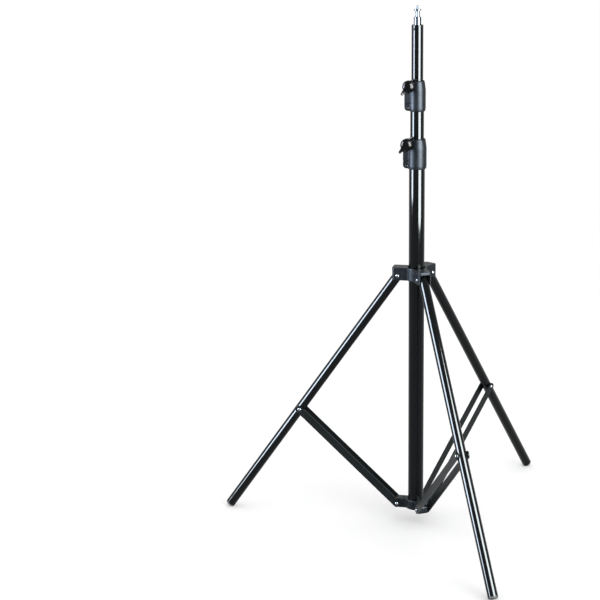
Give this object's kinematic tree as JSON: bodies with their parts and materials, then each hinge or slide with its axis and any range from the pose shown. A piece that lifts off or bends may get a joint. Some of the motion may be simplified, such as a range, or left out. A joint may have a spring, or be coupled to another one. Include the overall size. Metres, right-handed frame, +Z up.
{
  "type": "lighting stand",
  "caption": "Folding tripod lighting stand with a telescopic column, wing-knob collars, a sliding leg hub with paired flat braces and a spigot with a screw on top.",
  "frame": {"origin": "middle of the stand's footprint box on the floor; the column's axis is 110.5 mm away along +Y", "axes": "+Z up along the column; one leg points along -Y and the other two 120 degrees from it"},
  "size_m": [0.7894, 0.6867, 1.1821],
  "materials": {
    "tube": "gloss black coated tube",
    "moulding": "satin dark grey moulded nylon",
    "brace": "satin black steel strip",
    "knob": "gloss black moulded knob",
    "rubber": "matt black rubber",
    "nylon": "black nylon",
    "zinc": "bright zinc plate",
    "chrome": "bright chrome"
  },
  "bodies": {
    "base": {"column_tube": "tube", "column_end_plug": "nylon", "column_buffer": "rubber", "lower_hub": "moulding", "lower_hub_grub_screw": "zinc", "lower_collar": "moulding", "lower_collar_bush": "nylon", "lower_collar_bolt": "zinc", "lower_collar_nut": "zinc", "lower_knob_nut": "zinc", "front_brace_rivet": "zinc", "left_brace_rivet": "zinc", "right_brace_rivet": "zinc"},
    "lower_clamp_knob": {"lower_knob": "knob", "lower_knob_screw": "zinc"},
    "middle_section": {"middle_tube": "tube", "middle_glide": "nylon", "middle_buffer": "rubber", "upper_collar": "moulding", "upper_collar_bush": "nylon", "upper_collar_bolt": "zinc", "upper_collar_nut": "zinc", "upper_knob_nut": "zinc"},
    "upper_clamp_knob": {"upper_knob": "knob", "upper_knob_screw": "zinc"},
    "top_section": {"top_tube": "tube", "top_glide": "nylon", "spigot_sleeve": "nylon", "spigot": "chrome", "spigot_pin": "zinc"},
    "leg_hub": {"upper_hub": "moulding", "upper_hub_bush": "nylon", "front_leg_rivet": "zinc", "left_leg_rivet": "zinc", "right_leg_rivet": "zinc"},
    "front_leg_assembly": {"front_leg": "tube", "front_leg_cap": "nylon", "front_foot": "rubber"},
    "front_brace_pair": {"front_brace_a": "brace", "front_brace_b": "brace", "front_brace_head_a": "zinc", "front_brace_head_b": "zinc"},
    "left_leg_assembly": {"left_leg": "tube", "left_leg_cap": "nylon", "left_foot": "rubber"},
    "left_brace_pair": {"left_brace_a": "brace", "left_brace_b": "brace", "left_brace_head_a": "zinc", "left_brace_head_b": "zinc"},
    "right_leg_assembly": {"right_leg": "tube", "right_leg_cap": "nylon", "right_foot": "rubber"},
    "right_brace_pair": {"right_brace_a": "brace", "right_brace_b": "brace", "right_brace_head_a": "zinc", "right_brace_head_b": "zinc"}
  },
  "joints": [
    {"name": "fold", "type": "slide", "parent": "base", "child": "leg_hub", "axis": [0, 0, 1], "range_m": [0, 0.169]},
    {"name": "middle_slide", "type": "slide", "parent": "base", "child": "middle_section", "axis": [0, 0, 1], "range_m": [0, 0.7]},
    {"name": "top_slide", "type": "slide", "parent": "middle_section", "child": "top_section", "axis": [0, 0, 1], "range_m": [0, 0.77]},
    {"name": "lower_knob_turn", "type": "hinge", "parent": "base", "child": "lower_clamp_knob", "pos_m": [-0.02475, 0.10853, 0.8858], "axis": [-0.4067, -0.9135, 0], "range_deg": [0, 270]},
    {"name": "upper_knob_turn", "type": "hinge", "parent": "middle_section", "child": "upper_clamp_knob", "pos_m": [-0.02221, 0.10596, 1.0123], "axis": [-0.342, -0.9397, 0], "range_deg": [0, 270]},
    {"name": "front_leg_hinge", "type": "hinge", "parent": "leg_hub", "child": "front_leg_assembly", "pos_m": [0, 0.06984, 0.58831], "axis": [1, 0, 0], "range_deg": [0, 32.4]},
    {"name": "front_brace_hinge", "type": "hinge", "parent": "base", "child": "front_brace_pair", "pos_m": [0, 0.06854, 0.0416], "axis": [-1, 0, 0], "range_deg": [0, 43.6]},
    {"name": "left_leg_hinge", "type": "hinge", "parent": "leg_hub", "child": "left_leg_assembly", "pos_m": [-0.03525, 0.13089, 0.58831], "axis": [-0.5, -0.866, 0], "range_deg": [0, 32.4]},
    {"name": "left_brace_hinge", "type": "hinge", "parent": "base", "child": "left_brace_pair", "pos_m": [-0.03637, 0.13154, 0.0416], "axis": [0.5, 0.866, 0], "range_deg": [0, 43.6]},
    {"name": "right_leg_hinge", "type": "hinge", "parent": "leg_hub", "child": "right_leg_assembly", "pos_m": [0.03525, 0.13089, 0.58831], "axis": [-0.5, 0.866, 0], "range_deg": [0, 32.4]},
    {"name": "right_brace_hinge", "type": "hinge", "parent": "base", "child": "right_brace_pair", "pos_m": [0.03637, 0.13154, 0.0416], "axis": [0.5, -0.866, 0], "range_deg": [0, 43.6]}
  ],
  "couplings": [
    {"joint": "front_leg_hinge", "follows": "fold", "rad_per_m": 3.3344},
    {"joint": "front_brace_hinge", "follows": "fold", "rad_per_m": 4.4932},
    {"joint": "left_leg_hinge", "follows": "fold", "rad_per_m": 3.3344},
    {"joint": "left_brace_hinge", "follows": "fold", "rad_per_m": 4.4932},
    {"joint": "right_leg_hinge", "follows": "fold", "rad_per_m": 3.3344},
    {"joint": "right_brace_hinge", "follows": "fold", "rad_per_m": 4.4932}
  ]
}
